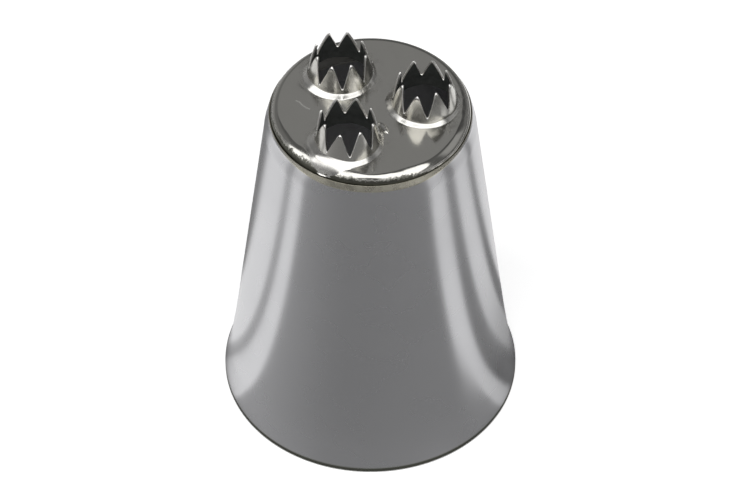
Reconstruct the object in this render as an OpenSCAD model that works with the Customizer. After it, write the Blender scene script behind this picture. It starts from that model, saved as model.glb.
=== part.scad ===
// Triple star piping nozzle: a tapered shell, a pressed face plate wedged
// in its narrow mouth, and three toothed star spouts soldered into the plate.
// Millimetres, +Z up through the spouts. The origin is the centre of the wide
// rim, which is what the nozzle stands on. -Y is the front.

/* [Shell] */
// Outer diameter of the wide rim
base_d = 34; // [30:0.5:44]
// Outer diameter at the narrow mouth
mouth_d = 23.1; // [22.5:0.1:27]
// Height of the shell from the wide rim to the narrow mouth
shell_h = 41.7; // [34:0.1:56]
// Sheet thickness of the shell
shell_wall = 0.4; // [0.3:0.05:0.6]
// How far the wide end swells out beyond the straight taper
flare_out = 0.3; // [0.1:0.05:0.8]
// Height over which the wide end swells out
flare_h = 10.3; // [5:0.1:16]
// How far the burnished lip stands out at the wide rim
lip_out = 0.12; // [0.05:0.01:0.25]
// Height of the burnished lip
lip_h = 0.8; // [0.6:0.05:1.5]
// Rounding on the outer edge of the lip
lip_round = 0.26; // [0.1:0.02:0.3]
// Width of the bevel on the outer corner of the mouth
bevel_w = 0.26; // [0.06:0.02:0.28]
// Height of that bevel
bevel_h = 0.4; // [0.1:0.05:0.8]

/* [Face plate] */
// Height of the plate's face above the shell's mouth
plate_rise = 1.2; // [1:0.05:2]
// Sheet thickness of the plate
plate_wall = 0.4; // [0.3:0.05:0.6]
// Outside radius of the bend between the plate's face and its skirt
plate_bend = 1; // [0.7:0.05:1.1]
// Depth of the skirt that wedges inside the shell, below the mouth
skirt_h = 2.8; // [1.5:0.1:5]

/* [Star spouts] */
// Outer diameter of a spout's straight foot
spout_d = 7.4; // [6.8:0.02:7.6]
// Sheet thickness of a spout
spout_wall = 0.3; // [0.25:0.05:0.45]
// Height of the tooth tips above the plate's face
spout_h = 3.85; // [2.5:0.05:5]
// Height of the straight foot above the plate's face, where the teeth begin to lean in
foot_h = 1; // [0.6:0.05:1.3]
// Angle at which the teeth lean in
tooth_lean = 15.5; // [0:0.5:18]
// Number of teeth on a spout
teeth = 8; // [6:1:10]
// Width left at the tip of a tooth
tip_w = 0.34; // [0.3:0.02:0.6]
// Width of the rounded bottom of a notch between two teeth
notch_w = 0.14; // [0.1:0.02:0.3]
// Height of the bottom of the notches above the start of the lean
notch_rise = 0.05; // [0:0.05:0.5]
// Width of the flange that bears on the underside of the plate
flange_w = 0.34; // [0.3:0.02:0.5]
// Thickness of that flange
flange_t = 0.35; // [0.25:0.05:0.6]
// Gap between a flange and the bend at the plate's edge
flange_edge = 0.1; // [0.06:0.02:0.4]
// Direction of the first spout, anticlockwise from +X
spout_turn = 4.8; // [0:0.1:30]

/* [Solder] */
// Width of the fillet of solder round a spout's foot
fillet_w = 0.28; // [0.2:0.02:0.36]
// Height of the fillet of solder, no higher than the straight foot
fillet_max_h = 0.46; // [0.3:0.01:0.8]
// Length of the bead of solder below the skirt
bead_h = 0.8; // [0.4:0.05:1.5]
// Clearance that the solder fills between two curved faces
fit_gap = 0.02; // [0.01:0.01:0.04]

/* [Hidden] */
$fn = 96;

spouts = 3;
arc_steps = 8;
cut_over = 1;

// Straight taper of the shell, met by the flare above the wide rim
taper_foot_r = base_d / 2 - lip_out - flare_out;
mouth_r = mouth_d / 2;
taper = (taper_foot_r - mouth_r) / shell_h;
taper_angle = atan(taper);
shell_wall_r = shell_wall / cos(taper_angle);
plate_wall_r = plate_wall / cos(taper_angle);

// Face plate, whose skirt follows the inside of the shell
face_z = shell_h + plate_rise;
under_z = face_z - plate_wall;
skirt_z = shell_h - skirt_h;
bend_z = face_z - plate_bend;
bend_r = skirt_r(bend_z) - plate_bend / cos(taper_angle);

// Spouts
spout_r = spout_d / 2;
spout_bore_r = spout_r - spout_wall;
flange_r = spout_r + flange_w;
pitch_r = bend_r - flange_edge - flange_r;
lean_z = face_z + foot_h;
tip_z = face_z + spout_h;
notch_z = lean_z + notch_rise;
tip_r = spout_r - (tip_z - lean_z) * tan(tooth_lean);
notch_top_w = 2 * tip_r * sin(180 / teeth) - tip_w;
notch_slope = (notch_top_w - notch_w) / (tip_z - notch_z);
fillet_h = min(fillet_max_h, foot_h);

// Outside radius of the straight taper at height z
function taper_r(z) = taper_foot_r - taper * z;

// Outside radius of the shell above its lip, where the flare dies out at flare_h
function shell_r(z) =
    taper_r(z) + (z < flare_h ? flare_out * pow(1 - z / flare_h, 2) : 0);

// Outside radius of the skirt at height z
function skirt_r(z) = taper_r(z) - shell_wall_r - fit_gap;

// Points on an arc about [r, z], from angle a to angle b
function arc(r, z, radius, a, b) = [
    for (i = [0 : arc_steps])
        let (t = a + (b - a) * i / arc_steps)
            [r + radius * cos(t), z + radius * sin(t)]
];

// Points down the flare between two heights, set in by a wall
function flare_points(z_from, z_to, inset) = [
    for (i = [0 : arc_steps])
        let (z = z_from + (z_to - z_from) * i / arc_steps)
            [shell_r(z) - inset, z]
];

// Places what follows on the axis of spout i, with all spouts facing one way
module at_spout(i) {
    angle = spout_turn + i * 360 / spouts;
    translate([pitch_r * cos(angle), pitch_r * sin(angle), 0])
        children();
}

// Drawn shell with a flared wide end and a burnished lip
module cone_body() {
    lip_rise = base_d / 2 - shell_r(lip_h);
    bevel_z = shell_h - bevel_h;
    outline = concat(
        [
            [mouth_r - bevel_w, shell_h],
            [shell_r(bevel_z), bevel_z]
        ],
        flare_points(flare_h, lip_h, 0),
        [[base_d / 2, lip_h - lip_rise]],
        arc(base_d / 2 - lip_round, lip_round, lip_round, 0, -90),
        flare_points(0, flare_h, shell_wall_r),
        [[mouth_r - shell_wall_r, shell_h]]
    );
    color([0.74, 0.75, 0.77])
        rotate_extrude()
            polygon(outline);
}

// Pressed cup: a flat face, a bend, and a skirt that wedges in the mouth
module face_plate() {
    outline = concat(
        [[0, face_z]],
        arc(bend_r, bend_z, plate_bend, 90, taper_angle),
        [
            [skirt_r(skirt_z), skirt_z],
            [skirt_r(skirt_z) - plate_wall_r, skirt_z]
        ],
        arc(bend_r, bend_z, plate_bend - plate_wall, taper_angle, 90),
        [[0, under_z]]
    );
    color([0.66, 0.65, 0.6])
        difference() {
            rotate_extrude()
                polygon(outline);
            for (i = [0 : spouts - 1])
                at_spout(i)
                    translate([0, 0, under_z - cut_over])
                        cylinder(r = spout_r + fit_gap, h = plate_wall + 2 * cut_over);
        }
}

// A V notch cut through a spout's wall on the +X side
module notch() {
    top_z = tip_z + cut_over;
    half_top = notch_w / 2 + notch_slope * (top_z - notch_z) / 2;
    rotate([90, 0, 90])
        linear_extrude(height = spout_d)
            polygon([
                [-notch_w / 2, notch_z],
                [notch_w / 2, notch_z],
                [half_top, top_z],
                [-half_top, top_z]
            ]);
}

// Flanged tube whose upper part is cut into pointed teeth that lean inward
module star_spout(i) {
    outline = [
        [spout_bore_r, under_z - flange_t],
        [flange_r, under_z - flange_t],
        [flange_r, under_z],
        [spout_r, under_z],
        [spout_r, lean_z],
        [tip_r, tip_z],
        [tip_r - spout_wall, tip_z],
        [spout_bore_r, lean_z]
    ];
    color([0.7, 0.69, 0.65])
        at_spout(i)
            difference() {
                rotate_extrude()
                    polygon(outline);
                for (k = [0 : teeth - 1])
                    rotate([0, 0, spout_turn + k * 360 / teeth])
                        notch();
            }
}

// Hollow fillet of solder on the plate round a spout's foot
module spout_solder(i) {
    inner_r = spout_r + fit_gap;
    outer_r = spout_r + fillet_w;
    slope = [
        for (k = [0 : arc_steps])
            let (t = 90 * k / arc_steps)
                [
                    outer_r - (outer_r - inner_r) * sin(t),
                    face_z + fillet_h * (1 - cos(t))
                ]
    ];
    color([0.8, 0.79, 0.75])
        at_spout(i)
            rotate_extrude()
                polygon(concat([[inner_r, face_z]], slope));
}

// Bead of solder in the corner below the skirt, against the inside of the shell
module plate_solder() {
    foot_z = skirt_z - bead_h;
    color([0.78, 0.78, 0.76])
        rotate_extrude()
            polygon([
                [skirt_r(skirt_z), skirt_z],
                [skirt_r(skirt_z) - plate_wall_r, skirt_z],
                [skirt_r(skirt_z) - plate_wall_r / 3, skirt_z - bead_h / 2],
                [skirt_r(foot_z) - plate_wall_r / 8, foot_z],
                [skirt_r(foot_z), foot_z]
            ]);
}

cone_body();
face_plate();
star_spout(0);  // star_spout_1
star_spout(1);  // star_spout_2
star_spout(2);  // star_spout_3
spout_solder(0);  // spout_solder_1
spout_solder(1);  // spout_solder_2
spout_solder(2);  // spout_solder_3
plate_solder();
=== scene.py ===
import math

import bmesh
import bpy
from mathutils import Matrix, Vector, geometry, noise


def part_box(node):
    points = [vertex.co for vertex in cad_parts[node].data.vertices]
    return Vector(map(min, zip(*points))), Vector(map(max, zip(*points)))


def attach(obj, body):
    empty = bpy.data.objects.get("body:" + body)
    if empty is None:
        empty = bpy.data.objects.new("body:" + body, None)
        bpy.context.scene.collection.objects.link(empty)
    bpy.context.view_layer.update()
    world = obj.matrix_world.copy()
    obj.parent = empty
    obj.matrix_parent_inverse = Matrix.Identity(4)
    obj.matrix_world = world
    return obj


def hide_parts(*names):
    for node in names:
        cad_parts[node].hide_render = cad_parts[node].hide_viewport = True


MM = 0.001
TAU = 2 * math.pi

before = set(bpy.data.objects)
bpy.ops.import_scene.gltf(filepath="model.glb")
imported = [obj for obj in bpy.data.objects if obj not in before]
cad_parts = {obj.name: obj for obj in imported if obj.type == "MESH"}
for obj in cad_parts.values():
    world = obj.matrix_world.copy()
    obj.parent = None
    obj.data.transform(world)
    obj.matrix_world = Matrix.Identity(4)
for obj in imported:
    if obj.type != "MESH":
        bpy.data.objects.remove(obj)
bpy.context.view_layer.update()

# Sizes of the sheet metal that the frame's boxes don't give
SHELL_WALL = 0.4 * MM
PLATE_WALL = 0.4 * MM
PLATE_BEND = 1.0 * MM
SPOUT_WALL = 0.3 * MM
FLARE_OUT = 0.3 * MM
FLARE_H = 10.3 * MM
LIP_OUT = 0.12 * MM
LIP_H = 0.65 * MM
LIP_BLEND = 2.6 * MM
LIP_ROUND = 0.26 * MM
BEVEL_W = 0.26 * MM
BEVEL_H = 0.4 * MM
FIT_GAP = 0.02 * MM
SPOUT_RISE = 3.85 * MM
FOOT_H = 1.0 * MM
FLANGE_T = 0.35 * MM
FLANGE_W = 0.34 * MM
TOOTH_LEAN = math.radians(15.5)
TIP_W = 0.34 * MM
NOTCH_W = 0.14 * MM
NOTCH_RISE = 0.05 * MM
SPOUTS = 3
TEETH = 8

SHELL_SEGMENTS = 288
PLATE_SEGMENTS = 288
HOLE_SEGMENTS = 128
CORNER_ROWS = 8
CORNER_SUPPORT = 0.4

# Sizes taken from the frame
shell_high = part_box("cone_body")[1]
plate_low, plate_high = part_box("face_plate")
bead_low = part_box("plate_solder")[0]
base_r = shell_high.x
shell_top = shell_high.z
face_z = plate_high.z
under_z = face_z - PLATE_WALL
skirt_z = plate_low.z


def ring_radius(cad_node, z):
    """The outer radius of a CAD node at height z, measured on its own vertices."""
    near = [v.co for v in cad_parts[cad_node].data.vertices if abs(v.co.z - z) < 1e-6]
    return max(math.hypot(co.x, co.y) for co in near)


mouth_r = ring_radius("cone_body", shell_top) + BEVEL_W
taper_foot_r = base_r - LIP_OUT - FLARE_OUT
taper = (taper_foot_r - mouth_r) / shell_top
taper_angle = math.atan(taper)
shell_wall_r = SHELL_WALL / math.cos(taper_angle)
plate_wall_r = PLATE_WALL / math.cos(taper_angle)


def spout_centre(i):
    """Where a spout's axis stands, from the box of its CAD node."""
    low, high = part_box(f"star_spout_{i}")
    return Vector(((low.x + high.x) / 2, (low.y + high.y) / 2, 0))


spout_centres = [spout_centre(i) for i in range(1, SPOUTS + 1)]

# A spout's box is as wide as its flange
spout_low, spout_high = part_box("star_spout_1")
spout_r = (spout_high.x - spout_low.x) / 2 - FLANGE_W
spout_turn = math.atan2(spout_centres[0].y, spout_centres[0].x)
bend_z = face_z - PLATE_BEND


# Radii at height z


def taper_r(z):
    """Outside of the straight taper."""
    return taper_foot_r - taper * z


def shell_r(z):
    """Outside of the shell above its lip, which flares at the wide end."""
    if z >= FLARE_H:
        return taper_r(z)
    return taper_r(z) + FLARE_OUT * (1 - z / FLARE_H) ** 2


def skirt_r(z):
    """Outside of the plate's skirt, which follows the inside of the taper."""
    return taper_r(z) - shell_wall_r - FIT_GAP


bend_r = skirt_r(bend_z) - PLATE_BEND / math.cos(taper_angle)


# Numbers, angles and outlines


def front_angle(x, y):
    """The angle of a point from the front, in degrees and positive to the right."""
    return math.degrees(math.atan2(x, -y))


def turn_from(turn, middle):
    """How far one angle is from another, between -180 and 180 degrees."""
    return (turn - middle + 180) % 360 - 180


def mix(a, b, share):
    return a + (b - a) * share


def clamp(t):
    return min(max(t, 0), 1)


def smooth(t):
    """Eases a share between 0 and 1, and holds it at 0 or 1 outside."""
    t = clamp(t)
    return t * t * (3 - 2 * t)


def spaced(a, b, steps):
    return [a + (b - a) * i / steps for i in range(steps + 1)]


def arc(r, z, radius, a, b, steps):
    """Points on an arc about (r, z), from angle a to angle b in degrees."""
    turns = spaced(math.radians(a), math.radians(b), steps)
    return [(r + radius * math.cos(t), z + radius * math.sin(t)) for t in turns]


def rounded(corners):
    """A closed outline whose corners (r, z, rounding) become arcs, each with a close support point."""
    steps = CORNER_ROWS - 3
    points = []
    count = len(corners)
    for i, (r, z, rounding) in enumerate(corners):
        here = Vector((r, z))
        if rounding <= 0:
            points.append(here)
            continue
        before = (Vector(corners[i - 1][:2]) - here).normalized()
        after = (Vector(corners[(i + 1) % count][:2]) - here).normalized()
        half = before.angle(after) / 2
        back = rounding / math.tan(half)
        centre = here + (before + after).normalized() * rounding / math.sin(half)
        start = here + before * back - centre
        end = here + after * back - centre
        support = rounding * CORNER_SUPPORT
        points.append(here + before * (back + support))
        for t in spaced(0, 1, steps):
            points.append(centre + start.slerp(end, t) * rounding)
        points.append(here + after * (back + support))
    return [(p.x, p.y) for p in points]


# Mesh helpers

# Angles above which an edge is shaded as sharp
SHEET_SHARP = math.radians(50)
SOLDER_SHARP = math.radians(40)


def linked(name, data):
    """A new object of some data, linked into the scene."""
    obj = bpy.data.objects.new(name, data)
    bpy.context.scene.collection.objects.link(obj)
    return obj


def new_object(name, verts, faces, materials, sharp_angle=None, slots=None):
    """A smooth-shaded object. slots gives each face its material, and sharp_angle marks its hard edges."""
    mesh = bpy.data.meshes.new(name)
    mesh.from_pydata([tuple(v) for v in verts], [], faces)
    if slots:
        mesh.polygons.foreach_set("material_index", slots)
    mesh.validate()
    bm = bmesh.new()
    bm.from_mesh(mesh)
    bmesh.ops.recalc_face_normals(bm, faces=bm.faces)
    bm.to_mesh(mesh)
    bm.free()
    mesh.polygons.foreach_set("use_smooth", [True] * len(mesh.polygons))
    if sharp_angle is not None:
        mesh.set_sharp_from_angle(angle=sharp_angle)
    for material in materials:
        mesh.materials.append(material)
    return linked(name, mesh)


def loop_faces(columns, rows, closed_rows):
    """Quads that join a ring of columns, each with the same number of rows."""
    faces = []
    last = rows if closed_rows else rows - 1
    for i in range(columns):
        here = i * rows
        there = (i + 1) % columns * rows
        for k in range(last):
            up = (k + 1) % rows
            faces.append((here + k, there + k, there + up, here + up))
    return faces


def lathe(outline, segments, other=None, share=None):
    """Vertices and faces of an outline turned about the axis, mixed with another by a share of the angle."""
    verts = []
    for i in range(segments):
        turn = TAU * i / segments
        for k, (r, z) in enumerate(outline):
            if other:
                r = mix(r, other[k][0], share(turn))
                z = mix(z, other[k][1], share(turn))
            verts.append(Vector((r * math.cos(turn), r * math.sin(turn), z)))
    return verts, loop_faces(segments, len(outline), True)


def dress(obj, node):
    """Puts a piece in the place of its CAD node, on the part's one body."""
    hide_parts(node)
    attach(obj, "root")


# Materials

STEEL = (0.63, 0.63, 0.645)
WARM_STEEL = (0.60, 0.59, 0.555)
OLIVE = (0.72, 0.69, 0.58)
FOOT_PAINTED_SHADE = (0.40, 0.41, 0.34)
# A darker olive for the shell's foot: painted shade where the lip meets the floor
CUT_STEEL = (0.86, 0.85, 0.82)
SOLDER = (0.68, 0.67, 0.64)
# The near-black grey of a spout's inside is painted shade for its hollow, not the metal's own colour
INSIDE_SHADE_GREY = (0.12, 0.125, 0.12)

# The darker and the paler tint of a mottled metal
OLIVES = ((0.40, 0.38, 0.31), (0.52, 0.50, 0.42))
# The second pair, for a spout's inside, is painted shade as well
INSIDE_SHADE_GREYS = ((0.065, 0.07, 0.065), (0.10, 0.105, 0.10))

# Turning marks on the shell, which blur its reflections one way
SHELL_GRAIN = 0.75
SHELL_GRAIN_TURN = 0.25
SHELL_MARKS_AROUND = 1.5
SHELL_MARKS_ALONG = 3000

# A film of solder and flux, wiped round the spouts in swirls
FILM_REACH = 1.7 * MM
FILM_ROUGHNESS = 0.3

# Painted shade low on the plate's bend, in the crevice at the shell's mouth, below a ragged edge that drops
# away to the right; a rough crust goes with it
CREVICE_SHADE_COLOUR = (0.16, 0.16, 0.135)
CREVICE_SHADE_DROP = 0.42 * MM
CREVICE_SHADE_FADE = 0.22 * MM
CREVICE_SHADE_LEFT_OF = 4.0 * MM
CREVICE_SHADE_LEAN = -0.16
CREVICE_SHADE_RAGGED = 5.0
CREVICE_CRUST = 0.05 * MM
CREVICE_ROUGHNESS = 0.15

# A squiggle scratched into the left of the face, as x and y in mm
SCRATCH = [(-8.2, 0.7), (-7.85, 0.5), (-7.55, 0.05), (-7.1, -0.35), (-6.75, -0.55)]
SCRATCH_WIDTH = 0.16 * MM
SCRATCH_COLOUR = (0.98, 0.97, 0.93)
SCRATCH_ROUGHNESS = 0.15

# Vector operations that give a number
NUMBER_OPERATIONS = {"DISTANCE", "DOT_PRODUCT", "LENGTH"}


def set_inputs(made, values):
    """Sets a node's inputs, by their names, to plain numbers and colours."""
    for name, value in values.items():
        made.inputs[name].default_value = value


def new_material(name):
    material = bpy.data.materials.new(name)
    material.use_nodes = True
    return material, material.node_tree


def metal(name, colour, roughness, metallic=1.0, anisotropic=0.0, turn=0.0):
    material, tree = new_material(name)
    shader = tree.nodes["Principled BSDF"]
    set_inputs(shader, {"Base Color": (*colour, 1), "Metallic": metallic, "Roughness": roughness})
    set_inputs(shader, {"Anisotropic": anisotropic, "Anisotropic Rotation": turn})
    return material, tree, shader


def vary(tree, shader, colour=None, roughness=None, normal=None):
    """Links what varies over the surface to the shader."""
    for name, value in (("Base Color", colour), ("Roughness", roughness), ("Normal", normal)):
        if value is not None:
            tree.links.new(value, shader.inputs[name])


def node(tree, kind, **settings):
    made = tree.nodes.new(kind)
    for key, value in settings.items():
        setattr(made, key, value)
    return made


def feed(tree, sockets, values):
    """Gives each input socket its value: another node's output, or a plain number or vector."""
    for socket, value in zip(sockets, values):
        if isinstance(value, bpy.types.NodeSocket):
            tree.links.new(value, socket)
        else:
            socket.default_value = value


def math_node(tree, operation, *values):
    made = node(tree, "ShaderNodeMath", operation=operation)
    feed(tree, made.inputs, values)
    return made.outputs[0]


def vector_node(tree, operation, *values):
    made = node(tree, "ShaderNodeVectorMath", operation=operation)
    feed(tree, made.inputs, values)
    return made.outputs["Value" if operation in NUMBER_OPERATIONS else "Vector"]


def place(tree):
    return node(tree, "ShaderNodeTexCoord").outputs["Object"]


def place_parts(tree):
    """The x, y and z of a place on the object, in metres."""
    split = node(tree, "ShaderNodeSeparateXYZ")
    tree.links.new(place(tree), split.inputs[0])
    return split.outputs


def noise_node(tree, scale, detail=2.0, rough=0.5, distortion=0.0, vector=None):
    """Noise with about scale blobs to the metre, over the object unless a vector is given."""
    made = node(tree, "ShaderNodeTexNoise")
    set_inputs(made, {"Scale": scale, "Detail": detail, "Roughness": rough, "Distortion": distortion})
    tree.links.new(place(tree) if vector is None else vector, made.inputs["Vector"])
    return made.outputs["Fac"]


def spread(tree, value, low, high):
    """Maps a noise value, about 0.3 to 0.7, onto low to high."""
    made = node(tree, "ShaderNodeMapRange")
    feed(tree, made.inputs, (value, 0.3, 0.7, low, high))
    return made.outputs[0]


def tint(tree, value, low, high, low_at=0.3, high_at=0.7):
    """Maps a value from low_at to high_at onto a mix of two colours."""
    made = node(tree, "ShaderNodeValToRGB")
    first, last = made.color_ramp.elements
    first.position, last.position = low_at, high_at
    first.color, last.color = (*low, 1), (*high, 1)
    tree.links.new(value, made.inputs["Fac"])
    return made.outputs["Color"]


def mixed_colour(tree, share, colour, other):
    """A linked colour that goes over to a plain one where the share is 1."""
    made = node(tree, "ShaderNodeMix", data_type="RGBA")
    tree.links.new(share, made.inputs["Factor"])
    colours = [socket for socket in made.inputs if socket.type == "RGBA"]
    tree.links.new(colour, colours[0])
    colours[1].default_value = (*other, 1)
    return next(socket for socket in made.outputs if socket.type == "RGBA")


def clamped(tree, value):
    made = node(tree, "ShaderNodeClamp")
    tree.links.new(value, made.inputs["Value"])
    return made.outputs[0]


def bump(tree, height, distance, under=None):
    """A normal raised by height times distance, on top of another if there is one."""
    made = node(tree, "ShaderNodeBump")
    set_inputs(made, {"Strength": 1, "Distance": distance})
    tree.links.new(height, made.inputs["Height"])
    if under is not None:
        tree.links.new(under, made.inputs["Normal"])
    return made.outputs[0]


def turned_vector(tree, around, along):
    """A vector of angle about the axis times around, and height times along, for marks left by turning."""
    x, y, z = place_parts(tree)
    angle = math_node(tree, "ARCTAN2", y, x)
    joined = node(tree, "ShaderNodeCombineXYZ")
    tree.links.new(math_node(tree, "MULTIPLY", angle, around), joined.inputs["X"])
    tree.links.new(math_node(tree, "MULTIPLY", z, along), joined.inputs["Y"])
    return joined.outputs[0]


def shell_metal():
    """Satin from turning, which blurs reflections along the taper and keeps them sharp sideways."""
    material, tree, shader = metal("turned_steel", STEEL, 0.27, 1.0, SHELL_GRAIN, SHELL_GRAIN_TURN)
    tangent = node(tree, "ShaderNodeTangent", direction_type="RADIAL", axis="Z")
    tree.links.new(tangent.outputs[0], shader.inputs["Tangent"])
    marks = noise_node(tree, 1.0, vector=turned_vector(tree, SHELL_MARKS_AROUND, SHELL_MARKS_ALONG))
    clouds = noise_node(tree, 160)
    # Below 0.55 mm the shell is a darker olive, easing back to steel by 0.8 mm: painted shade where its lip
    # meets the floor
    height_mm = math_node(tree, "MULTIPLY", place_parts(tree)["Z"], 1 / MM)
    colour = tint(tree, height_mm, FOOT_PAINTED_SHADE, STEEL, 0.55, 0.8)
    vary(tree, shader, colour, spread(tree, clouds, 0.26, 0.29), bump(tree, marks, 0.0006 * MM))
    return material


def mouth_edge_metal():
    """The burnished edge of the shell's mouth: satin steel at the sides, dulled to olive at the front."""
    material, tree, shader = metal("mouth_edge", STEEL, 0.27)
    forward_cm = math_node(tree, "MULTIPLY", place_parts(tree)["Y"], -100)
    colour = tint(tree, forward_cm, STEEL, OLIVE, 0.5, 0.85)
    clouds = noise_node(tree, 900, 3.0)
    vary(tree, shader, colour, spread(tree, clouds, 0.24, 0.31))
    return material


def solder_film(tree):
    """Extra roughness where a thin film of solder and flux was wiped round the spouts, in swirls."""
    nearest = None
    for centre in spout_centres:
        away = vector_node(tree, "DISTANCE", place(tree), (centre.x, centre.y, face_z))
        nearest = away if nearest is None else math_node(tree, "MINIMUM", nearest, away)
    reach = math_node(tree, "SUBTRACT", spout_r + FILM_REACH, nearest)
    reach = math_node(tree, "DIVIDE", reach, FILM_REACH)
    patchy = spread(tree, noise_node(tree, 520, distortion=2.5), -0.2, 1.2)
    amount = clamped(tree, math_node(tree, "MULTIPLY", reach, patchy))
    return math_node(tree, "MULTIPLY", amount, FILM_ROUGHNESS)


def scratch_share(tree):
    """The squiggle in the face: 1 along it and 0 off it."""
    deepest = None
    for start, end in zip(SCRATCH, SCRATCH[1:]):
        a = Vector((*start, 0)) * MM
        b = Vector((*end, 0)) * MM
        along = (b - a).normalized()
        flat = vector_node(tree, "MULTIPLY", place(tree), (1, 1, 0))
        offset = vector_node(tree, "SUBTRACT", flat, a)
        run = vector_node(tree, "DOT_PRODUCT", offset, along)
        run = math_node(tree, "MAXIMUM", run, 0.0)
        run = math_node(tree, "MINIMUM", run, (b - a).length)
        nearest = node(tree, "ShaderNodeVectorMath", operation="SCALE")
        nearest.inputs[0].default_value = along
        tree.links.new(run, nearest.inputs["Scale"])
        away = vector_node(tree, "DISTANCE", offset, nearest.outputs[0])
        share = math_node(tree, "DIVIDE", away, SCRATCH_WIDTH)
        depth = math_node(tree, "SUBTRACT", 1.0, math_node(tree, "MINIMUM", share, 1.0))
        deepest = depth if deepest is None else math_node(tree, "MAXIMUM", deepest, depth)
    return deepest


def crevice_shade_share(tree, speckle):
    """Painted crevice shade low on the plate's bend: 1 where it is darkest and 0 above its ragged edge."""
    x, y, z = place_parts(tree)
    depth = math_node(tree, "SUBTRACT", face_z - CREVICE_SHADE_DROP, z)
    beyond = math_node(tree, "SUBTRACT", x, CREVICE_SHADE_LEFT_OF)
    beyond = math_node(tree, "MAXIMUM", beyond, 0.0)
    depth = math_node(tree, "ADD", depth, math_node(tree, "MULTIPLY", beyond, CREVICE_SHADE_LEAN))
    depth = math_node(tree, "DIVIDE", depth, CREVICE_SHADE_FADE)
    ragged = math_node(tree, "SUBTRACT", speckle, 0.5)
    ragged = math_node(tree, "MULTIPLY", ragged, CREVICE_SHADE_RAGGED)
    return clamped(tree, math_node(tree, "ADD", depth, ragged))


def plate_metal():
    """Polished sheet, slightly warm, with fine handling marks, painted crevice shade with a rough crust on
    the bend, and a scratch.
    """
    material, tree, shader = metal("polished_plate", WARM_STEEL, 0.15)
    waves = noise_node(tree, 420, 1.0)
    grain = noise_node(tree, 3800, 3.0)
    speckle = noise_node(tree, 2200, 4.0, 0.75)
    crevice_shade = crevice_shade_share(tree, speckle)
    scratched = scratch_share(tree)
    # Low on the bend the sheet darkens to near black: painted shade of the crevice
    colour = tint(tree, crevice_shade, WARM_STEEL, CREVICE_SHADE_COLOUR, 0, 1)
    colour = mixed_colour(tree, scratched, colour, SCRATCH_COLOUR)
    rough = math_node(tree, "ADD", spread(tree, waves, 0.12, 0.17), solder_film(tree))
    rough = math_node(tree, "ADD", rough, math_node(tree, "MULTIPLY", scratched, SCRATCH_ROUGHNESS))
    rough = math_node(tree, "ADD", rough, math_node(tree, "MULTIPLY", crevice_shade, CREVICE_ROUGHNESS))
    normal = bump(tree, waves, 0.003 * MM)
    normal = bump(tree, grain, 0.0016 * MM, normal)
    normal = bump(tree, math_node(tree, "MULTIPLY", crevice_shade, speckle), CREVICE_CRUST, normal)
    vary(tree, shader, colour, rough, normal)
    return material


def grained_metal(name, colour, roughness, scale, rough=None, tints=None, relief=0, metallic=1.0, detail=2.0):
    """A metal with one grain, which varies its roughness, its tint and, by some mm, its relief."""
    material, tree, shader = metal(name, colour, roughness, metallic)
    grain = noise_node(tree, scale, detail)
    varied_tint = tint(tree, grain, *tints) if tints else None
    varied_rough = spread(tree, grain, *rough) if rough else None
    normal = bump(tree, grain, relief * MM) if relief else None
    vary(tree, shader, varied_tint, varied_rough, normal)
    return material


# The brim is the cut end of the shell's sheet, and the fresh cuts are the edges of the teeth, tumbled bright.
# The plate's back is left rough, and the inside of a spout is rough and painted near black: painted shade in
# the hollow.
MATERIALS = {
    "shell": shell_metal(),
    "mouth_edge": mouth_edge_metal(),
    "brim": grained_metal("brim", OLIVE, 0.5, 900, (0.45, 0.55), OLIVES, detail=3.0),
    "plate": plate_metal(),
    "plate_back": grained_metal("plate_back", WARM_STEEL, 0.5, 1200, (0.45, 0.6), metallic=0.5),
    "spout": grained_metal("spout_steel", WARM_STEEL, 0.2, 2600, (0.16, 0.24), relief=0.002, detail=3.0),
    "spout_inside_shade": grained_metal("spout_inside_shade", INSIDE_SHADE_GREY, 0.4, 1500, tints=INSIDE_SHADE_GREYS, metallic=0.4),
    "fresh_cut": grained_metal("fresh_cut", CUT_STEEL, 0.3, 3000, (0.26, 0.36)),
    "solder": grained_metal("bright_solder", SOLDER, 0.2, 900, (0.2, 0.3), relief=0.002),
}


# Tapered shell

WEDGE_BULGE = 0.012 * MM
WEDGE_FADE = 0.7 * MM
DRAW_DEPTH = 2.2 * MM
EDGE_LIFT = 0.12 * MM
SHEET_EDGE = 0.06 * MM
SHOULDER_ROUND = 0.2 * MM
LIP_TOP_ROUND = 0.1 * MM

# The mouth at the front and elsewhere: width and height of its bevel, and how far burnishing drew it in
FRONT_MOUTH = (BEVEL_W, BEVEL_H, 0.05 * MM)
SIDE_MOUTH = (0.10 * MM, 0.12 * MM, 0.20 * MM)
FRONT_MOUTH_TO = 22
SIDE_MOUTH_FROM = 55


def wedge_bulge(z, draw):
    """How far the skirt wedged inside pushes the shell out, and burnishing draws its mouth in."""
    pushed = WEDGE_BULGE * smooth((z - skirt_z) / WEDGE_FADE)
    return pushed - (draw + WEDGE_BULGE) * smooth((z - shell_top + DRAW_DEPTH) / DRAW_DEPTH)


def side_share(turn):
    """How much the mouth has its side shape, from 0 at the front to 1 at the sides."""
    off = abs(front_angle(math.cos(turn), math.sin(turn)))
    return smooth((off - FRONT_MOUTH_TO) / (SIDE_MOUTH_FROM - FRONT_MOUTH_TO))


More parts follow.
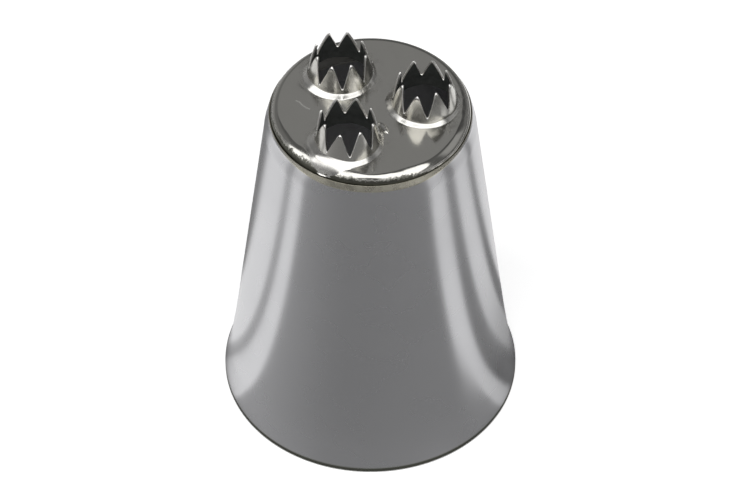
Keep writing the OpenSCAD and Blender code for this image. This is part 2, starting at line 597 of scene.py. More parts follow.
def shell_outline(bevel_w, bevel_h, draw):
    """The shell's closed outline: from the cut end of its mouth down the outside, and back up the inside."""
    bevel_z = shell_top - bevel_h
    edge_z = shell_top + EDGE_LIFT
    corners = [
        (mouth_r - draw - bevel_w, edge_z, SHEET_EDGE / 2),
        (taper_r(bevel_z) + wedge_bulge(bevel_z, draw), bevel_z, SHOULDER_ROUND),
    ]
    for z in spaced(bevel_z - 0.2 * MM, skirt_z - 0.6 * MM, 16):
        corners.append((taper_r(z) + wedge_bulge(z, draw), z, 0))
    corners += [(shell_r(z), z, 0) for z in spaced(skirt_z - 1.5 * MM, FLARE_H, 12)]
    corners += [(shell_r(z), z, 0) for z in spaced(FLARE_H, LIP_H + LIP_BLEND, 20)[1:]]
    swell = base_r - shell_r(LIP_H)
    for z in spaced(LIP_H + LIP_BLEND, LIP_H + LIP_TOP_ROUND, 16)[1:]:
        corners.append((shell_r(z) + swell * (1 - (z - LIP_H) / LIP_BLEND) ** 2, z, 0))
    corners += [(base_r, LIP_H, LIP_TOP_ROUND), (base_r, 0, LIP_ROUND - 0.01 * MM)]
    corners.append((shell_r(0) - shell_wall_r, 0, SHEET_EDGE))
    corners += [(shell_r(z) - shell_wall_r, z, 0) for z in spaced(0.3 * MM, FLARE_H, 20)]
    corners += [(taper_r(z) - shell_wall_r, z, 0) for z in spaced(FLARE_H, shell_top - 0.3 * MM, 12)[1:]]
    corners.append((mouth_r - shell_wall_r, edge_z, SHEET_EDGE / 2))
    return rounded(corners)


def shell_slot(row, rows):
    """The metal of a row of the shell's faces: 0 is the taper, 1 the edge of its mouth, 2 its cut end."""
    if row < CORNER_ROWS - 1 or row >= rows - CORNER_ROWS:
        return 2
    return 1 if row < 2 * CORNER_ROWS - 1 else 0


def make_shell():
    outline = shell_outline(*FRONT_MOUTH)
    verts, faces = lathe(outline, SHELL_SEGMENTS, shell_outline(*SIDE_MOUTH), side_share)
    rows = len(outline)
    slots = [shell_slot(i % rows, rows) for i in range(len(faces))]
    metals = [MATERIALS["shell"], MATERIALS["mouth_edge"], MATERIALS["brim"]]
    shell = new_object("tapered_shell", verts, faces, metals, slots=slots)
    dress(shell, "cone_body")


# Pressed face plate

UNDULATION = 0.012 * MM
UNDULATION_LENGTH = 2.6 * MM
UNDULATION_START = Vector((7.3, 1.9, 0))
CALM_RIM = 0.8 * MM
SKIRT_CORNER = 0.08 * MM

# The triangles of the flat sheet: their side, how high a row is as a share of it, and the room left at edges
SHEET_STEP = 0.2 * MM
SHEET_ROW = 0.866
SHEET_CLEAR = 0.12 * MM

# How unevenly the rim was pressed: angle from the front, radius of the rim, width and drop of the bend in
# mm, and how round the bend is, where 2 is an ellipse and 1 would be a straight slope
BEND_SHAPE = [
    (-180, 11.09, 1.0, 1.0, 2.0),
    (-85, 11.09, 1.0, 1.0, 2.0),
    (-62, 11.0, 1.15, 1.0, 1.6),
    (-45, 10.9, 1.2, 1.0, 1.45),
    (-12, 10.95, 1.15, 1.0, 1.8),
    (0, 11.02, 0.65, 1.0, 2.0),
    (12, 11.07, 0.8, 0.85, 1.5),
    (22, 11.07, 0.9, 0.85, 1.3),
    (38, 11.07, 0.68, 0.85, 1.3),
    (60, 11.08, 0.85, 0.95, 1.25),
    (80, 11.09, 0.95, 1.0, 1.35),
    (105, 11.09, 1.0, 1.0, 2.0),
    (180, 11.09, 1.0, 1.0, 2.0),
]

# Shallow dents in the face: x, y, radius and depth in mm
DENTS = [(10.0, -2.6, 1.3, 0.10), (6.9, -3.9, 0.8, 0.05), (-7.9, 3.6, 1.0, 0.05), (-7.6, -5.2, 0.9, 0.05)]

# Ripples drawn into the face beside a spout: spout, angle from the front, half width in degrees, height in mm
RIPPLES = [(0, 62, 38, 0.035), (1, -70, 45, 0.035), (2, -70, 45, 0.04)]
RIPPLE_START = 0.3 * MM
RIPPLE_RISE = 0.3 * MM
RIPPLE_REACH = 1.5 * MM
RIPPLE_LENGTH = 0.75 * MM
RIPPLE_WARP = 1.6
RIPPLE_WARP_LENGTH = 1.5 * MM
RIPPLE_TWIST = 25


def bend_shape(turn):
    """The plate's bend at an angle from the front, eased between the angles that are given."""
    for before, after in zip(BEND_SHAPE, BEND_SHAPE[1:]):
        if turn <= after[0]:
            share = smooth((turn - before[0]) / (after[0] - before[0]))
            break
    rim, width, drop, round_power = [mix(a, b, share) for a, b in zip(before[1:], after[1:])]
    return rim * MM, width * MM, drop * MM, round_power


def ripple(x, y):
    """How far the ripples beside the spouts raise the face at a place."""
    height = 0
    for spout, turn, half_width, tall in RIPPLES:
        c = spout_centres[spout]
        out = math.hypot(x - c.x, y - c.y) - spout_r - RIPPLE_START
        off = turn_from(front_angle(x - c.x, y - c.y), turn)
        if out < 0 or out > RIPPLE_REACH or abs(off) > half_width:
            continue
        fade = smooth(out / RIPPLE_RISE) * smooth((RIPPLE_REACH - out) / RIPPLE_REACH)
        fade *= smooth(1 - abs(off) / half_width)
        warp = RIPPLE_WARP * noise.noise(Vector((x, y, 0)) / RIPPLE_WARP_LENGTH)
        height += tall * MM * fade * math.sin(TAU * out / RIPPLE_LENGTH + warp + off / RIPPLE_TWIST)
    return height


def plate_height(x, y):
    """The top of the pressed face: flat, bent down at the rim, and slightly uneven."""
    r = math.hypot(x, y)
    rim, width, drop, power = bend_shape(front_angle(x, y))
    share = clamp((r - rim + width) / width)
    z = face_z - drop * (1 - (1 - share ** power) ** (1 / power))
    inner = smooth((rim - r) / CALM_RIM)
    z += UNDULATION * inner * noise.noise(Vector((x, y, 0)) / UNDULATION_LENGTH + UNDULATION_START)
    z += inner * ripple(x, y)
    for dent_x, dent_y, radius, depth in DENTS:
        away = math.hypot(x - dent_x * MM, y - dent_y * MM) / (radius * MM)
        z -= inner * depth * MM * math.exp(-away * away)
    return z


def ring_points(centre, radius, count):
    turns = [TAU * i / count for i in range(count)]
    return [Vector((centre.x + radius * math.cos(t), centre.y + radius * math.sin(t))) for t in turns]


def plate_sheet():
    """A flat triangulated disc with three holes: its points, with the rim and holes first, and its faces."""
    hole_r = spout_r + FIT_GAP
    rings = [ring_points(Vector((0, 0, 0)), bend_r, PLATE_SEGMENTS)]
    rings += [ring_points(c, hole_r, HOLE_SEGMENTS) for c in spout_centres]
    points = [p for ring in rings for p in ring]
    reach = int(bend_r / SHEET_STEP) + 1
    for row in range(-reach, reach + 1):
        for column in range(-reach, reach + 1):
            p = Vector(((column + 0.5 * (row % 2)) * SHEET_STEP, row * SHEET_STEP * SHEET_ROW))
            clear = bend_r - p.length
            for c in spout_centres:
                clear = min(clear, (p - c.xy).length - hole_r)
            if clear > SHEET_CLEAR:
                points.append(p)
    in_mm = [p / MM for p in points]
    found = geometry.delaunay_2d_cdt(in_mm, [], [], 0, 1e-7)
    places, triangles, sources = found[0], found[2], found[3]
    # Triangles inside the holes are left out
    faces = []
    for triangle in triangles:
        middle = sum((places[k] for k in triangle), Vector((0, 0))) / len(triangle) * MM
        if all((middle - c.xy).length > hole_r * 0.9995 for c in spout_centres):
            faces.append([sources[k][0] for k in triangle])
    return points, faces


def hidden_side(face, count, start, rows, front_rows):
    """True for a face on the plate's underside or on the inside of its skirt."""
    return all(count <= k < start or (k >= start and (k - start) % rows >= front_rows) for k in face)


def skirt_outline():
    """The bend and the skirt, down the outside and back up, in three parts: bend, outside and the rest."""
    angle = math.degrees(taper_angle)
    bend = arc(bend_r, bend_z, PLATE_BEND, 90, angle, 20)[1:]
    low_z = skirt_z + SKIRT_CORNER
    outside = [(skirt_r(z), z) for z in spaced(bend_z - 0.35 * MM, low_z, 8)]
    foot_r = skirt_r(skirt_z)
    foot = [(foot_r - SKIRT_CORNER, skirt_z), (foot_r - plate_wall_r + SKIRT_CORNER, skirt_z)]
    back = [(skirt_r(z) - plate_wall_r, z) for z in spaced(low_z, bend_z - 0.1 * MM, 8)]
    inner_bend = arc(bend_r, bend_z, PLATE_BEND - PLATE_WALL, angle, 90, 10)[:-1]
    return bend, outside, foot + back + inner_bend


def skirt_points(bend, straight):
    """The bend, pressed to its uneven shape, and the straight skirt, all round the plate."""
    points = []
    for i in range(PLATE_SEGMENTS):
        turn = TAU * i / PLATE_SEGMENTS
        out = Vector((math.cos(turn), math.sin(turn), 0))
        rim = bend_shape(front_angle(out.x, out.y))[0]
        for r, _ in bend:
            r = bend_r + (r - bend_r) * (rim - bend_r) / PLATE_BEND
            z = plate_height(r * out.x, r * out.y)
            points.append(out * r + Vector((0, 0, z)))
        points += [out * r + Vector((0, 0, z)) for r, z in straight]
    return points


def make_plate():
    points, sheet = plate_sheet()
    count = len(points)
    verts = [Vector((p.x, p.y, plate_height(p.x, p.y))) for p in points]
    verts += [Vector((p.x, p.y, under_z)) for p in points]
    faces = [list(f) for f in sheet] + [[k + count for k in reversed(f)] for f in sheet]
    for h in range(SPOUTS):
        first = PLATE_SEGMENTS + h * HOLE_SEGMENTS
        for i in range(HOLE_SEGMENTS):
            a = first + i
            b = first + (i + 1) % HOLE_SEGMENTS
            faces.append([a, b, b + count, a + count])
    bend, outside, rest = skirt_outline()
    start = len(verts)
    rows = len(bend + outside + rest)
    verts += skirt_points(bend, outside + rest)
    for i in range(PLATE_SEGMENTS):
        there = (i + 1) % PLATE_SEGMENTS
        a, b = start + i * rows, start + there * rows
        faces.append([i, there, b, a])
        faces.append([a + rows - 1, b + rows - 1, there + count, i + count])
        for k in range(rows - 1):
            faces.append([a + k, b + k, b + k + 1, a + k + 1])
    slots = [int(hidden_side(face, count, start, rows, len(bend + outside))) for face in faces]
    metals = [MATERIALS["plate"], MATERIALS["plate_back"]]
    plate = new_object("pressed_face_plate", verts, faces, metals, SHEET_SHARP, slots)
    dress(plate, "face_plate")


# Star spouts

FLANK_STEPS = 9
WALL_ROWS = 12
BRIM_SHARES = (0.12, 0.3, 0.5, 0.7, 0.88)
TOOTH_EDGE = 0.05 * MM
TIP_SLOPE = 3.2
LEAN_START = 0.3 * MM
LEAN_BLEND = 0.15 * MM
TIP_SWELL = 0.11 * MM
SWELL_DEPTH = 0.28 * MM
bore_r = spout_r - SPOUT_WALL
flange_r = spout_r + FLANGE_W
flange_z = under_z - FLANGE_T
lean_z = face_z + LEAN_START
tip_z = face_z + SPOUT_RISE
notch_z = face_z + FOOT_H + NOTCH_RISE

# The real wall leans less, from lower down, and its tips come in as far
wall_slope = (SPOUT_RISE - FOOT_H) * math.tan(TOOTH_LEAN) / (SPOUT_RISE - LEAN_START)

# Slight differences between real teeth: extra height, outward bend and sideways bend at the tip, in mm
TOOTH_QUIRKS = [
    [(-0.03, -0.20, -0.04), (0.00, -0.03, -0.06), (0.03, 0.00, -0.20), (0.00, 0.02, 0.00),
     (0.05, -0.12, -0.08), (-0.04, 0.18, 0.14), (0.02, -0.22, 0.04), (-0.05, 0.12, -0.14)],
    [(0.00, -0.05, 0.05), (0.00, -0.03, 0.05), (0.02, -0.04, -0.08), (-0.02, -0.10, 0.06),
     (0.05, -0.10, -0.08), (-0.02, 0.05, 0.02), (0.00, -0.10, 0.00), (0.00, 0.20, 0.00)],
    [(0.00, 0.05, -0.12), (0.00, 0.10, -0.18), (0.03, 0.06, -0.10), (0.03, 0.20, 0.00),
     (0.00, -0.10, 0.00), (-0.03, 0.12, 0.20), (0.02, 0.00, 0.20), (-0.10, 0.20, -0.20)],
]


def lean_in(z):
    """How far the wall has leaned in at height z, with a soft bend where the lean starts."""
    rise = z - lean_z
    if rise <= -LEAN_BLEND:
        return 0.0
    if rise < LEAN_BLEND:
        return wall_slope * (rise + LEAN_BLEND) ** 2 / (4 * LEAN_BLEND)
    return wall_slope * rise


tip_r = spout_r - lean_in(tip_z)
half_pitch = math.pi / TEETH
notch_top_half = tip_r * math.sin(half_pitch) - TIP_W / 2
flank_rise = (tip_z - notch_z) / (notch_top_half - NOTCH_W / 2)


def half_tooth():
    """Columns from a notch to the next tip: distance from the notch's middle, edge height and edge slope."""
    columns = [(0.0, notch_z, 0.0), (NOTCH_W / 2, notch_z + 0.02 * MM, 0.6 * flank_rise)]
    for d in spaced(NOTCH_W / 2, notch_top_half, FLANK_STEPS)[1:-1]:
        columns.append((d, notch_z + (d - NOTCH_W / 2) * flank_rise, flank_rise))
    columns.append((notch_top_half, tip_z - 0.09 * MM, 0.9 * flank_rise))
    columns.append((notch_top_half + TIP_W / 4, tip_z - 0.02 * MM, TIP_SLOPE))
    columns.append((None, tip_z, TIP_SLOPE))
    return columns


def wall_point(radius, foot_turn, edge_turn, z_top, t, quirk, notch_turn):
    """A point on the outside or inside of a spout's wall, a share t of the way from the foot to the edge."""
    swell = TIP_SWELL if radius == spout_r else -TIP_SWELL
    z = lean_z - LEAN_BLEND + (z_top - lean_z + LEAN_BLEND) * t
    turn = foot_turn + (edge_turn - foot_turn) * t
    share = max(z - notch_z, 0) / (tip_z - notch_z)
    bend = share * share
    r = radius - lean_in(z) + quirk[1] * MM * bend + swell * smooth(1 - (tip_z - z) / SWELL_DEPTH)
    z += quirk[0] * MM * bend
    turn += quirk[2] * MM * bend / spout_r
    return Vector((r * math.cos(notch_turn + turn), r * math.sin(notch_turn + turn), z))


def spout_column(half_column, foot_turn, side, quirk, notch_turn):
    """One closed column round the wall: up the outside, over the edge, down the inside, round the flange."""
    distance, z_edge, slope = half_column
    drop = TOOTH_EDGE * math.sqrt(1 + slope * slope)
    sides = []
    for radius in (spout_r, bore_r):
        edge_turn = half_pitch
        if distance is not None:
            edge_turn = min(math.asin(min(distance / (radius - lean_in(z_edge)), 1)), half_pitch)
        sides.append([
            wall_point(radius, side * foot_turn, side * edge_turn, z_edge - drop, t, quirk, notch_turn)
            for t in spaced(0, 1, WALL_ROWS)
        ])
    outside, inside = sides
    brim = []
    for t in BRIM_SHARES:
        p = outside[-1].lerp(inside[-1], t)
        brim.append(p + Vector((0, 0, drop * (1 - abs(2 * t - 1) ** 1.5))))
    turn = notch_turn + side * foot_turn
    out = Vector((math.cos(turn), math.sin(turn), 0))
    foot = [(bore_r, face_z), (bore_r, flange_z), (flange_r, flange_z)]
    foot += [(flange_r, under_z), (spout_r, under_z), (spout_r, face_z)]
    return outside + brim + inside[::-1] + [out * r + Vector((0, 0, z)) for r, z in foot]


def spout_slot(row):
    """The metal of a row of a spout's faces: 0 is the outside, 1 the inside, 2 the cut edge of the teeth."""
    first_inside = WALL_ROWS + len(BRIM_SHARES) + 1
    if first_inside <= row <= first_inside + WALL_ROWS + 1:
        return 1
    return 2 if WALL_ROWS <= row < first_inside else 0


def make_spout(index):
    centre = spout_centres[index]
    half = half_tooth()
    last = len(half) - 1
    verts = []
    for tooth in range(TEETH):
        before = TOOTH_QUIRKS[index][tooth - 1]
        after = TOOTH_QUIRKS[index][tooth]
        notch_turn = spout_turn + tooth * TAU / TEETH
        for k in range(-last + 1, last + 1):
            side = 1 if k >= 0 else -1
            foot_turn = half_pitch * abs(k) / last
            quirk = after if k >= 0 else before
            column = spout_column(half[abs(k)], foot_turn, side, quirk, notch_turn)
            verts += [centre + p for p in column]
    columns = TEETH * 2 * last
    rows = len(verts) // columns
    faces = loop_faces(columns, rows, True)
    slots = [spout_slot(i % rows) for i in range(len(faces))]
    metals = [MATERIALS["spout"], MATERIALS["spout_inside_shade"], MATERIALS["fresh_cut"]]
    spout = new_object(f"toothed_spout_{index + 1}", verts, faces, metals, SHEET_SHARP, slots)
    dress(spout, f"star_spout_{index + 1}")


# Solder

FILLET_STEPS = 14
FILLET_SINK = 0.05 * MM
FILLET_EDGE_SINK = 0.02 * MM
FILLET_HOLLOW = 1.28
DROP_RINGS = 8
DROP_POINTS = 20

# The solder's slow swell and ragged edge: waves round the foot, and how they shift from spout to spout
SWELL_WAVES = 1.6
SWELL_SHIFT = 5.0
RAGGED_WAVES = 6.0
RAGGED_SHIFT = 3.0

# The solder round each spout's foot: width and height in mm, the direction in which it ran out from the
# front, positive to the right, and how much wider and higher it is there
FILLETS = [
    (0.32, 0.36, -80, 0.30, 0.0),
    (0.36, 0.45, -60, 0.30, 0.1),
    (0.36, 0.42, -50, 1.05, 0.25),
]
RUN_HALF_WIDTH = 75

# Stray drops of solder on the face: spout, x, y, length, width, height in mm and direction in degrees
DROPS = [
    (1, 0.15, 6.70, 0.20, 0.16, 0.15, 0),
    (1, 0.18, 6.10, 0.17, 0.15, 0.13, 40),
    (1, 0.48, 5.62, 0.15, 0.11, 0.10, 0),
    (2, 1.40, -3.50, 1.00, 0.40, 0.32, -57),
]


def add_drop(verts, faces, x, y, length, width, height, turn):
    """A closed blob, half sunk in the plate."""
    along = Vector((math.cos(turn), math.sin(turn), 0))
    across = Vector((-along.y, along.x, 0))
    foot = Vector((x, y, plate_height(x, y)))
    start = len(verts)
    for tilt in spaced(-math.pi / 2, math.pi / 2, DROP_RINGS)[1:-1]:
        for k in range(DROP_POINTS):
            angle = TAU * k / DROP_POINTS
            flat = along * length * math.cos(angle) + across * width * math.sin(angle)
            verts.append(foot + flat * math.cos(tilt) + Vector((0, 0, height * math.sin(tilt))))
    top = start + (DROP_RINGS - 2) * DROP_POINTS
    for ring in range(start, top, DROP_POINTS):
        for k in range(DROP_POINTS):
            a, b = ring + k, ring + (k + 1) % DROP_POINTS
            faces.append((a, b, b + DROP_POINTS, a + DROP_POINTS))
    faces.append(tuple(start + k for k in reversed(range(DROP_POINTS))))
    faces.append(tuple(top + k for k in range(DROP_POINTS)))


def make_fillet(index):
    """Solder that ran out from the spout's foot over the plate, by an uneven width."""
    inner_r = spout_r + FIT_GAP
    centre = spout_centres[index]
    base_width, base_height, run_turn, run_width, run_height = FILLETS[index]
    verts = []
    for i in range(HOLE_SEGMENTS):
        turn = TAU * i / HOLE_SEGMENTS
        out = Vector((math.cos(turn), math.sin(turn), 0))
        swell = noise.noise(out * SWELL_WAVES + Vector((0, 0, SWELL_SHIFT * index)))
        ragged = noise.noise(out * RAGGED_WAVES + Vector((0, 0, RAGGED_SHIFT * index)))
        off = turn_from(front_angle(out.x, out.y), run_turn)
        run = smooth(1 - abs(off) / RUN_HALF_WIDTH)
        width = (base_width + run_width * run) * MM * (1 + 0.3 * swell + 0.15 * ragged)
        height = (base_height + run_height * run) * MM * (1 + 0.25 * swell)
        tuck = lean_in(face_z + height) + FIT_GAP
        verts.append(centre + out * inner_r + Vector((0, 0, face_z - FILLET_SINK)))
        for t in spaced(1, 0, FILLET_STEPS):
            p = centre + out * (inner_r + width * t - tuck * (1 - t) ** 4)
            low = plate_height(p.x, p.y) - FILLET_EDGE_SINK * t
            verts.append(Vector((p.x, p.y, low + height * (1 - t) ** FILLET_HOLLOW)))
    faces = loop_faces(HOLE_SEGMENTS, FILLET_STEPS + 2, True)
    for spout, *sizes, turn in DROPS:
        if spout == index:
            add_drop(verts, faces, *[size * MM for size in sizes], math.radians(turn))
    fillet = new_object(f"solder_fillet_{index + 1}", verts, faces, [MATERIALS["solder"]], SOLDER_SHARP)
    dress(fillet, f"spout_solder_{index + 1}")


def make_bead():
    """The bead inside, in the corner between the skirt's end and the shell."""
    foot_z = bead_low.z
    inner_r = skirt_r(skirt_z) - plate_wall_r
    outline = [(skirt_r(skirt_z), skirt_z)]
    for t in spaced(0, math.pi / 2, 8):
        r = inner_r + (skirt_r(foot_z) - inner_r) * math.sin(t) ** 1.5
        outline.append((r, skirt_z - (skirt_z - foot_z) * (1 - math.cos(t))))
    verts, faces = lathe(outline, PLATE_SEGMENTS)
    bead = new_object("skirt_solder_bead", verts, faces, [MATERIALS["solder"]], SOLDER_SHARP)
    dress(bead, "plate_solder")


make_shell()
make_plate()
for number in range(SPOUTS):
    make_spout(number)
    make_fillet(number)
make_bead()


# Camera, as the photograph was taken: 47.6 degrees down from the front, through a long lens

CAMERA_BACK = 343.84 * MM
CAMERA_UP = 396.26 * MM
CAMERA_PITCH = 0.8314
CAMERA_YAW = 0.0015
CAMERA_ROLL = -0.0019
CAMERA_LENS_MM = 214.5
CAMERA_SENSOR_MM = 36


def make_camera():
    data = bpy.data.cameras.new("camera")
    data.lens = CAMERA_LENS_MM
    data.sensor_width = CAMERA_SENSOR_MM
    data.clip_start = 0.01
    camera = linked("camera", data)
    forward = Vector((
        math.sin(CAMERA_YAW) * math.cos(CAMERA_PITCH),
        math.cos(CAMERA_YAW) * math.cos(CAMERA_PITCH),
        -math.sin(CAMERA_PITCH),
    ))
    right = Vector((math.cos(CAMERA_YAW), -math.sin(CAMERA_YAW), 0))
    down = forward.cross(right)
    right, down = (
        right * math.cos(CAMERA_ROLL) + down * math.sin(CAMERA_ROLL),
        down * math.cos(CAMERA_ROLL) - right * math.sin(CAMERA_ROLL),
    )
    turn = Matrix((right, -down, -forward)).transposed().to_4x4()
    camera.matrix_world = Matrix.Translation((0, -CAMERA_BACK, CAMERA_UP)) @ turn
    bpy.context.scene.camera = camera


# Stage: a pale floor, a long oval light overhead, and the studio's greys, which only reflections see

SOFTBOX_RADIANCE = 1.7
SOFTBOX_SIZE = (2.0, 0.58)
SOFTBOX_PLACE = (0.0, -0.375, 0.42)
SOFTBOX_TURN = math.radians(-18)
WORLD_FILL = 0.12
FLOOR_REACH = 3.0
FLOOR_COLOUR = (0.95, 0.95, 0.95, 1)
WHITE = (1, 1, 1, 1)

# How much the floor glows, and how much it does so inside the nozzle
FLOOR_GLOW = 0.62
GLOW_INSIDE = 0.03


def seen_directly(tree, low, high):
    """The value high for rays that the eye sees, straight or in gloss or glass, and low for light."""
    path = node(tree, "ShaderNodeLightPath")
    seen = math_node(tree, "MAXIMUM", path.outputs["Is Camera Ray"], path.outputs["Is Glossy Ray"])
    seen = math_node(tree, "MAXIMUM", seen, path.outputs["Is Transmission Ray"])
    strength = node(tree, "ShaderNodeMapRange")
    set_inputs(strength, {"To Min": low, "To Max": high})
    tree.links.new(seen, strength.inputs["Value"])
    return strength.outputs[0]


def make_floor():
    """A matt floor that keeps the nozzle's shadow. Its glow lights nothing, and only shows white."""
    material, tree = new_material("pale_floor")
    shader = tree.nodes["Principled BSDF"]
    set_inputs(shader, {"Base Color": FLOOR_COLOUR, "Roughness": 1})
    set_inputs(shader, {"Specular IOR Level": 0, "Emission Color": WHITE})
    outside = math_node(tree, "GREATER_THAN", vector_node(tree, "LENGTH", place(tree)), base_r)
    glow = math_node(tree, "MULTIPLY", seen_directly(tree, 0, FLOOR_GLOW - GLOW_INSIDE), outside)
    glow = math_node(tree, "ADD", glow, seen_directly(tree, 0, GLOW_INSIDE))
    tree.links.new(glow, shader.inputs["Emission Strength"])
    corners = [(x * FLOOR_REACH, y * FLOOR_REACH, 0) for x, y in ((-1, -1), (1, -1), (1, 1), (-1, 1))]
    new_object("floor", corners, [(0, 1, 2, 3)], [material])


def make_world():
    world = bpy.data.worlds.new("studio")
    world.use_nodes = True
    tree = world.node_tree
    background = tree.nodes["Background"]
    set_inputs(background, {"Color": WHITE})
    tree.links.new(seen_directly(tree, WORLD_FILL, 1), background.inputs["Strength"])
    bpy.context.scene.world = world


def make_softbox():
    """The one light, which has the same radiance whatever its size."""
    data = bpy.data.lights.new("softbox", "AREA")
    data.shape = "ELLIPSE"
    data.size, data.size_y = SOFTBOX_SIZE
    data.energy = SOFTBOX_RADIANCE * math.pi * math.pi * SOFTBOX_SIZE[0] * SOFTBOX_SIZE[1] / 4
    softbox = linked("softbox", data)
    softbox.location = SOFTBOX_PLACE
    softbox.rotation_euler = (0, 0, SOFTBOX_TURN)


# The floor's greys in reflections. Turns are in degrees from the front, distances in mm.

# The dark line of contact round the wide rim: its grey, and how far it reaches
CONTACT_GREY = 0.09
CONTACT_REACH_MM = 0.95

# The dark front: its left and right edges, near and further out, how much further right it goes at the
# nozzle's foot, and how soft its edges are
FRONT_LEFT = (-71.5, -65.5)
FRONT_RIGHT = (60, 57)
FRONT_RIGHT_AT_FOOT = 7
FRONT_SOFT = 2.5

# The right of the floor: its grey further out and at the nozzle's foot, and where it ends
RIGHT_GREY = 0.92
RIGHT_FOOT_GREY = 0.75
RIGHT_TO = 125

# A darker patch near the nozzle: its grey, and the turns between which it lies
PATCH_GREY = 0.4
PATCH_FROM_TO = (88, 122)

# Flags beside the nozzle: grey, two ends, half widths at the ends and how soft the edge is. The one at the
# front on the right darkens towards the nozzle, so it has no grey here
FLAGS = [
    (0.24, (-19, 16), (-38, 41), (3, 15), 3.0),
    (0.45, (-17.5, 2.2), (-65, -7.6), (1.1, 4.5), 1.2),
    (0.22, (18.5, 10.5), (48, 19.8), (2.4, 4.2), 1.5),
]
FRONT_FLAG = ((20, -1.0), (64, -10.5), (3.2, 6.5), 1.5)


def soft_step(value, edge, soft):
    return smooth((value - edge) / soft + 0.5)


def between(value, low, high, soft):
    return soft_step(value, low, soft) * (1 - soft_step(value, high, soft))


def around(turn_degrees, radius, z):
    """A point at an angle from the front, positive to the right."""
    turn = math.radians(turn_degrees)
    return Vector((radius * math.sin(turn), -radius * math.cos(turn), z))


def near_line(p, start, end, half_widths, soft):
    """How near a floor point lies to a line: 1 on it, 0 off it. The half widths are those at its ends."""
    a, b = Vector(start), Vector(end)
    along = (b - a).normalized()
    t = (p - a).dot(along) / (b - a).length
    away = abs((p - a).cross(along))
    width = mix(*half_widths, min(max(t, 0), 1.5))
    return soft_step(t, -0.05, 0.1) * (1 - soft_step(away, width, soft))


def front_grey(turn, foot):
    """The dark front, which is paler to the left, and paler at the nozzle's foot."""
    grey = 0.24 + 0.11 * clamp((-turn - 15) / 45) ** 1.6 + 0.02 * clamp(turn / 50)
    return grey + (0.055 + 0.05 * clamp(-turn / 50)) * foot


def far_grey(turn, radius):
    """The end of the pale sweep, darkest far out in front."""
    side = 0.28 if turn < 0 else 0.17
    ahead = mix(0.28, 0.08, soft_step(radius, 190, 60))
    return mix(side, ahead, between(turn, -75, 65, 10))


def floor_grey(turn, radius):
    """The grey of a place on the floor, in layers of which each covers the ones before."""
    p = around(turn, radius, 0).xy
    out = clamp((radius - 25) / 40)
    near = clamp((36 - radius) / 18)
    low = clamp((30 - radius) / 8)
    foot = clamp((24 - radius) / 6)
    grey = mix(RIGHT_GREY, RIGHT_FOOT_GREY, low) if 0 < turn < RIGHT_TO else 1.0
    grey = mix(grey, PATCH_GREY, near * between(turn, *PATCH_FROM_TO, 8))
    for flag_grey, *line in FLAGS:
        grey = mix(grey, flag_grey, near_line(p, *line))
    front_flag_grey = mix(0.24 + 0.06 * out, 0.06, foot)
    grey = mix(grey, front_flag_grey, near_line(p, *FRONT_FLAG))
    left = mix(*FRONT_LEFT, out)
    right = mix(*FRONT_RIGHT, out) + FRONT_RIGHT_AT_FOOT * low
    grey = mix(grey, front_grey(turn, foot), between(turn, left, right, FRONT_SOFT))
    grey = mix(grey, far_grey(turn, radius), soft_step(radius, 120, 40))
    return mix(CONTACT_GREY, grey, soft_step(radius, base_r / MM + CONTACT_REACH_MM, 0.4))


# Greys above the horizon: angles from the front, angles up, and the grey
DOME_BASE = 0.12
DOME_PATCHES = [
    ((152, 208), (38, 72), 0.28),
    ((195, 262), (-9, 24), 0.30),
    ((195, 262), (24, 44), 0.19),
    ((98, 165), (-9, 24), 0.17),
    ((98, 165), (24, 44), 0.08),
    ((84, 116), (10, 34), 0.40),
    ((262, 285), (-9, 34), 0.27),
    ((285, 318), (-9, 40), 0.33),
    ((42, 65), (-9, 16), 0.33),
]


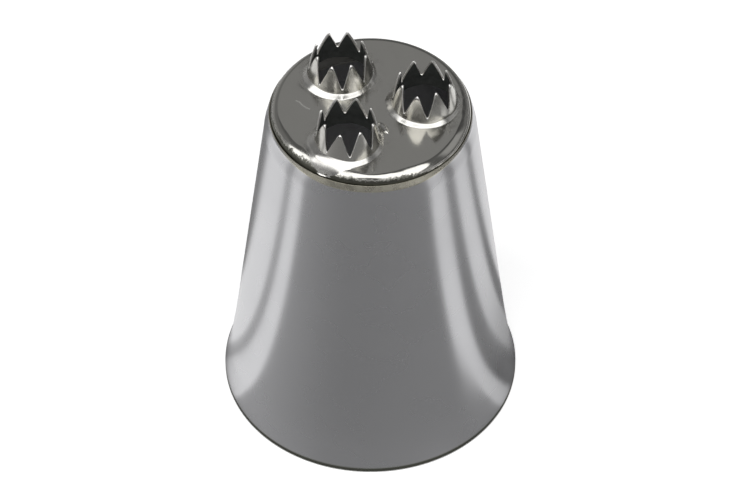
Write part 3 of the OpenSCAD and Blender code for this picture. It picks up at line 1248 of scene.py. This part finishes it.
def dome_grey(turn, up):
    grey = DOME_BASE
    for turns, ups, patch_grey in DOME_PATCHES:
        grey = mix(grey, patch_grey, between(turn % 360, *turns, 8) * between(up, *ups, 6))
    return grey


def reflected(name, points, greys, columns):
    """A curved card of varying grey that shows in reflections alone."""
    material, tree = new_material(name)
    tree.nodes.clear()
    glow = node(tree, "ShaderNodeEmission")
    shade = node(tree, "ShaderNodeAttribute", attribute_name="grey")
    output = node(tree, "ShaderNodeOutputMaterial")
    tree.links.new(shade.outputs["Color"], glow.inputs["Color"])
    tree.links.new(glow.outputs[0], output.inputs["Surface"])
    material.cycles.emission_sampling = "NONE"
    faces = loop_faces(columns, len(points) // columns, False)
    obj = new_object(name, points, faces, [material])
    attribute = obj.data.color_attributes.new(name="grey", type="FLOAT_COLOR", domain="POINT")
    for item, grey in zip(attribute.data, greys):
        item.color = (grey, grey, grey, 1)
    for rays in ("camera", "diffuse", "transmission", "shadow"):
        setattr(obj, f"visible_{rays}", False)


# The floor's card starts inside the rim, and its rings widen from just outside it
CARD_Z = 0.02 * MM
CARD_INSIDE_MM = 0.14
CARD_NEAR_MM = 1.4
CARD_REACH_MM = 600
DOME_R = 1.2


def make_surroundings():
    """A flat card just above the floor, and a dome over it."""
    near = base_r / MM + CARD_NEAR_MM
    turns = range(-180, 180)
    radii = spaced(base_r / MM - CARD_INSIDE_MM, near, 16)[:-1]
    radii += [near * (CARD_REACH_MM / near) ** (k / 70) for k in range(71)]
    points = [around(turn, radius * MM, CARD_Z) for turn in turns for radius in radii]
    greys = [floor_grey(turn, radius) for turn in turns for radius in radii]
    reflected("floor_greys", points, greys, len(turns))
    turns = range(-180, 180, 3)
    ups = range(0, 90, 2)
    points = []
    greys = []
    for turn in turns:
        for up in ups:
            rise = math.radians(up)
            points.append(around(turn, DOME_R * math.cos(rise), DOME_R * math.sin(rise)))
            greys.append(dome_grey(turn, up))
    reflected("dome_greys", points, greys, len(turns))


make_camera()
make_floor()
make_world()
make_softbox()
make_surroundings()

bpy.context.scene.view_settings.view_transform = "Standard"
